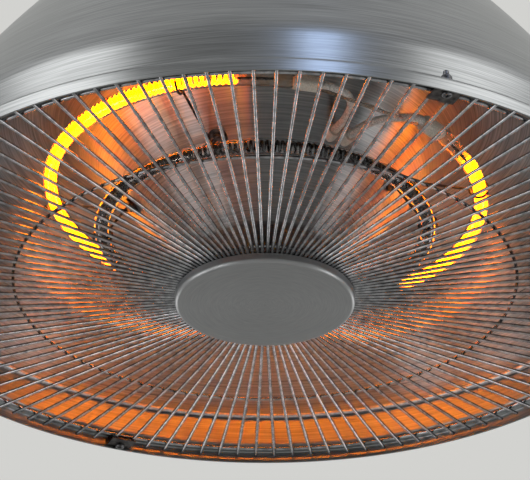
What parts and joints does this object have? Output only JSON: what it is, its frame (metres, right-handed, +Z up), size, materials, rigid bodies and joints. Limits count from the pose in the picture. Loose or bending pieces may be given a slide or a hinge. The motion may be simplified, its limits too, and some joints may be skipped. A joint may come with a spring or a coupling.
{
  "type": "patio heater",
  "caption": "Ceiling-hung mushroom patio heater: spun dome over a trough reflector, ring-shaped quartz elements, radial wire guard with a hub disc, switch box and hanging eye.",
  "frame": {"origin": "centre of the hanging eye's bore", "axes": "+Z up along the dome's axis, +Y along the eye's bore and away from the side the picture was taken from, +X towards the cable gland"},
  "size_m": [0.5999, 0.6, 0.3889],
  "materials": {
    "dome_steel": "spun, with fine marks round the axis",
    "reflector_sheet": "brushed, bright",
    "screw_steel": "plated",
    "zinc_steel": "zinc plated",
    "black_rubber": "matt",
    "black_plastic": "matt",
    "rocker_plastic": "satin",
    "white_ceramic": "unglazed",
    "brass_screws": "bright",
    "lit_quartz": "clear, lit from inside",
    "lit_filament": "glowing resistance wire",
    "clear_quartz": "clear",
    "dark_filament": "oxidised resistance wire",
    "lead_sleeve": "woven glass fibre",
    "bracket_wire": "bright drawn",
    "guard_wire": "plated",
    "hub_steel": "satin"
  },
  "bodies": {
    "heater": {"dome_shell": "dome_steel", "reflector": "reflector_sheet", "reflector_screws": "screw_steel", "carrier_foot_plate": "zinc_steel", "carrier_tube": "zinc_steel", "carrier_top_plate": "zinc_steel", "crown_gasket": "black_rubber", "crown_bolts": "screw_steel", "crown_nuts": "screw_steel", "crown_bushes": "black_rubber", "switch_box": "dome_steel", "lid_seal": "black_rubber", "box_lid": "dome_steel", "lid_screws": "screw_steel", "hanging_eye": "zinc_steel", "eye_washers": "zinc_steel", "eye_nuts": "zinc_steel", "cable_gland": "black_plastic", "gland_seal": "black_rubber", "gland_cap": "black_plastic", "gland_locknut": "black_plastic", "terminal_block": "white_ceramic", "terminal_screws": "brass_screws", "outer_switch_body": "black_plastic", "inner_switch_body": "black_plastic", "outer_quartz_tube": "lit_quartz", "outer_filament": "lit_filament", "outer_end_caps": "white_ceramic", "outer_lead_sleeves": "lead_sleeve", "inner_quartz_tube": "clear_quartz", "inner_filament": "dark_filament", "inner_end_caps": "white_ceramic", "inner_lead_sleeves": "lead_sleeve", "lead_bushes": "white_ceramic", "element_brackets": "bracket_wire", "bracket_screws": "screw_steel", "guard_rods": "guard_wire", "guard_outer_ring": "guard_wire", "guard_middle_ring": "guard_wire", "guard_hub_ring": "guard_wire", "hub_disc": "hub_steel", "hub_backplate": "zinc_steel", "hub_stud": "screw_steel", "hub_nuts": "screw_steel", "hub_spacer": "zinc_steel", "guard_clips": "bracket_wire", "clip_screws": "screw_steel", "clip_washers": "screw_steel", "acorn_nuts": "screw_steel"},
    "outer_rocker_body": {"outer_rocker": "rocker_plastic"},
    "inner_rocker_body": {"inner_rocker": "rocker_plastic"}
  },
  "joints": [
    {"name": "outer_element_switch", "type": "hinge", "parent": "heater", "child": "outer_rocker_body", "pos_m": [-0.052, 0.013, -0.0535], "axis": [0, 1, 0], "range_deg": [-20, 0]},
    {"name": "inner_element_switch", "type": "hinge", "parent": "heater", "child": "inner_rocker_body", "pos_m": [-0.052, -0.013, -0.0535], "axis": [0, 1, 0], "range_deg": [0, 20]}
  ]
}
